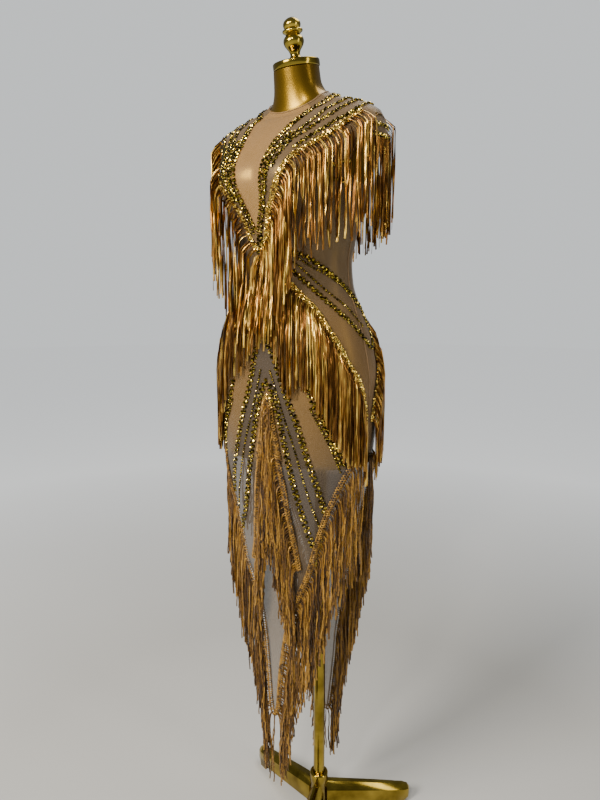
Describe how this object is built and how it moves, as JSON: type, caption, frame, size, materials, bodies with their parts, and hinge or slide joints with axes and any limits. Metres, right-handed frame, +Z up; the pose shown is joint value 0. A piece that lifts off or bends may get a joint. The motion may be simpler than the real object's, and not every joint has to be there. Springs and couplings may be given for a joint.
{
  "type": "mesh dress on a tripod dress form",
  "caption": "Cap-sleeve mesh dress with beaded bands, tiers of hanging fringe and a pointed hem, shown on a limbless dress form with a pole and a tripod foot.",
  "frame": {"origin": "middle of the overall box, on the floor under the stand's glide feet", "axes": "+Z up; the front of the dress faces -Y; the wearer's left is +X"},
  "size_m": [0.3839, 0.3771, 1.6721],
  "materials": {
    "gold_form": "metallic gold satin cover over a padded form",
    "gold_metal": "polished gold plate",
    "nude_mesh": "sheer nude stretch net",
    "foil_fringe": "flat metallic ribbon and ochre cord fringe",
    "gold_stones": "faceted gold stones sewn in rows"
  },
  "bodies": {
    "root": {"form_torso": "gold_form", "neck_cap": "gold_metal", "finial": "gold_metal", "stand_pole": "gold_metal", "tripod_base": "gold_metal", "dress_front": "nude_mesh", "dress_back_left": "nude_mesh", "dress_back_right": "nude_mesh", "sleeve_left": "nude_mesh", "sleeve_right": "nude_mesh", "plunge_band_left": "gold_stones", "plunge_band_right": "gold_stones", "yoke_band_left": "gold_stones", "yoke_band_right": "gold_stones", "waist_leaf_left": "gold_stones", "waist_leaf_right": "gold_stones", "skirt_band_outer": "gold_stones", "skirt_band_inner": "gold_stones", "thigh_band_left": "gold_stones", "thigh_band_right": "gold_stones", "yoke_fringe_left": "foil_fringe", "yoke_fringe_right": "foil_fringe", "back_yoke_fringe": "foil_fringe", "hip_fringe_front": "foil_fringe", "hip_fringe_back": "foil_fringe", "hem_fringe_front": "foil_fringe", "hem_fringe_back": "foil_fringe", "apex_fringe": "foil_fringe", "sleeve_fringe_left": "foil_fringe", "sleeve_fringe_right": "foil_fringe"}
  },
  "joints": []
}
